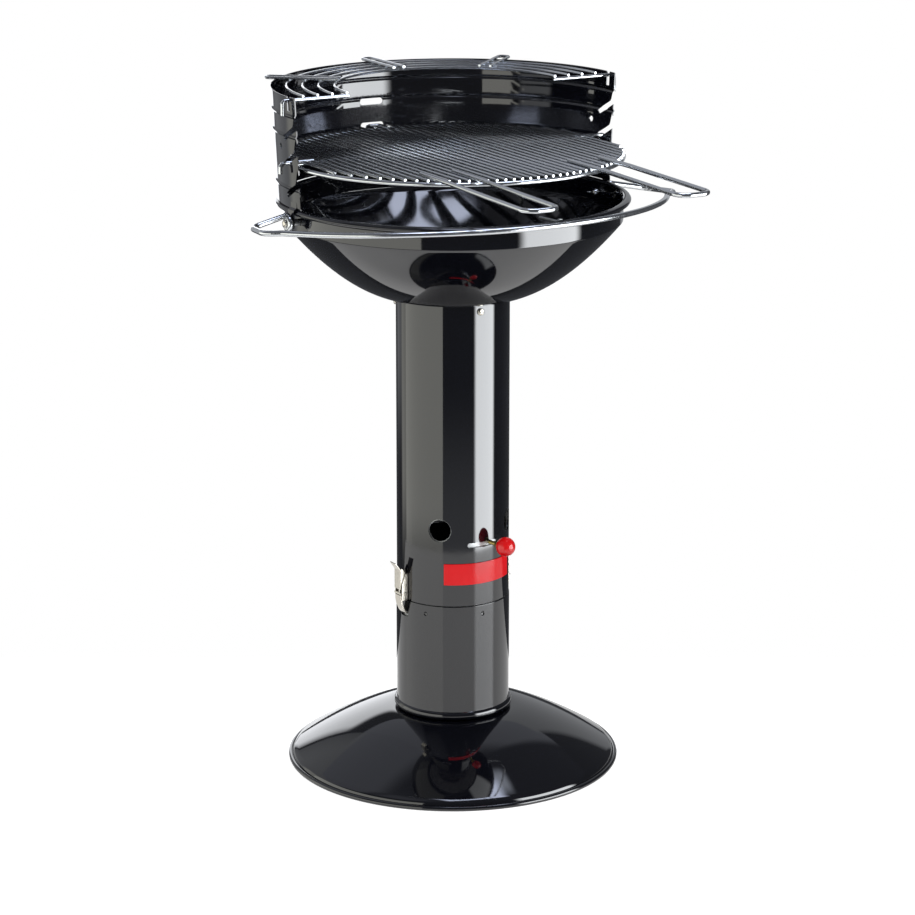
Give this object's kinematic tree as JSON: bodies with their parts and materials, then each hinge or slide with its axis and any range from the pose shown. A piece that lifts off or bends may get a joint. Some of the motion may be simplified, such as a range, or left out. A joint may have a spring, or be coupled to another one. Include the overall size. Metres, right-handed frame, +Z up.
{
  "type": "pedestal charcoal barbecue",
  "caption": "Free-standing charcoal barbecue: round enamelled bowl on a tubular column and dished foot, with half-round windshield, wire grid, warming rack and tool rail.",
  "frame": {"origin": "on the floor, under the centre of the round foot and on the column's axis", "axes": "+Z up along the column, -Y towards the front, where the two handles point, +X to the right seen from the front"},
  "size_m": [0.648, 0.7152, 0.9807],
  "materials": {
    "black_enamel": "gloss black vitreous enamel on pressed sheet steel",
    "chromed_wire": "bright chromium plate on steel wire",
    "stainless_steel": "plain stainless or galvanised steel",
    "yellow_zinc": "yellow passivated zinc plate",
    "red_plastic": "glossy red moulded plastic",
    "red_badge": "plain red foil badge"
  },
  "bodies": {
    "stand": {"foot_dish": "black_enamel", "foot_bolt": "stainless_steel", "foot_washer": "stainless_steel", "foot_nut": "stainless_steel", "ash_pot": "black_enamel", "column_collar": "stainless_steel", "column_tube": "black_enamel", "badge": "red_badge", "latch_left_base": "stainless_steel", "latch_left_lever_pin": "stainless_steel", "latch_left_rivet_1": "stainless_steel", "latch_left_rivet_2": "stainless_steel", "latch_right_base": "stainless_steel", "latch_right_lever_pin": "stainless_steel", "latch_right_rivet_1": "stainless_steel", "latch_right_rivet_2": "stainless_steel", "bowl": "black_enamel", "bowl_screw_1": "stainless_steel", "bowl_nut_1": "stainless_steel", "bowl_screw_2": "stainless_steel", "bowl_nut_2": "stainless_steel", "bowl_screw_3": "stainless_steel", "bowl_nut_3": "stainless_steel", "windshield": "black_enamel", "shield_bolt_1": "stainless_steel", "shield_spacer_1": "stainless_steel", "wing_nut_1": "chromed_wire", "shield_bolt_2": "stainless_steel", "shield_spacer_2": "stainless_steel", "wing_nut_2": "chromed_wire", "shield_bolt_3": "stainless_steel", "shield_spacer_3": "stainless_steel", "wing_nut_3": "chromed_wire", "tool_rail": "chromed_wire", "rail_clip": "chromed_wire", "rail_clip_nut": "stainless_steel"},
    "air_damper": {"damper_sleeve": "stainless_steel", "damper_stem": "yellow_zinc", "damper_knob": "red_plastic", "damper_nut_inner": "yellow_zinc", "damper_nut_outer": "yellow_zinc"},
    "left_lever": {"latch_left_lever": "stainless_steel", "latch_left_claw_pin": "stainless_steel"},
    "left_claw": {"latch_left_claw": "stainless_steel"},
    "right_lever": {"latch_right_lever": "stainless_steel", "latch_right_claw_pin": "stainless_steel"},
    "right_claw": {"latch_right_claw": "stainless_steel"},
    "grid": {"cooking_grid": "chromed_wire", "grid_handle_left": "chromed_wire", "grid_handle_right": "chromed_wire"},
    "rack": {"warming_rack": "chromed_wire"},
    "grate": {"fire_grate": "stainless_steel"}
  },
  "joints": [
    {"name": "damper_turn", "type": "hinge", "parent": "stand", "child": "air_damper", "pos_m": [0, 0, 0.335], "axis": [0, 0, 1], "range_deg": [-24, 6]},
    {"name": "left_lever_hinge", "type": "hinge", "parent": "stand", "child": "left_lever", "pos_m": [-0.08458, -0.00443, 0.257], "axis": [0.0523, -0.9986, 0], "range_deg": [0, 80]},
    {"name": "left_claw_hinge", "type": "hinge", "parent": "left_lever", "child": "left_claw", "pos_m": [-0.09018, -0.00473, 0.257], "axis": [0.0523, -0.9986, 0], "range_deg": [-120, 0]},
    {"name": "right_lever_hinge", "type": "hinge", "parent": "stand", "child": "right_lever", "pos_m": [0.08458, 0.00443, 0.257], "axis": [-0.0523, 0.9986, 0], "range_deg": [0, 80]},
    {"name": "right_claw_hinge", "type": "hinge", "parent": "right_lever", "child": "right_claw", "pos_m": [0.09018, 0.00473, 0.257], "axis": [-0.0523, 0.9986, 0], "range_deg": [-120, 0]},
    {"name": "grid_slide", "type": "slide", "parent": "stand", "child": "grid", "axis": [0, -0.891, 0.454], "range_m": [0, 0.12]},
    {"name": "rack_lift", "type": "slide", "parent": "stand", "child": "rack", "axis": [0, 0, 1], "range_m": [0, 0.06]},
    {"name": "grate_lift", "type": "slide", "parent": "stand", "child": "grate", "axis": [0, 0, 1], "range_m": [0, 0.04]}
  ],
  "couplings": [
    {"joint": "left_claw_hinge", "follows": "left_lever_hinge", "ratio": -1.5},
    {"joint": "right_claw_hinge", "follows": "right_lever_hinge", "ratio": -1.5}
  ]
}
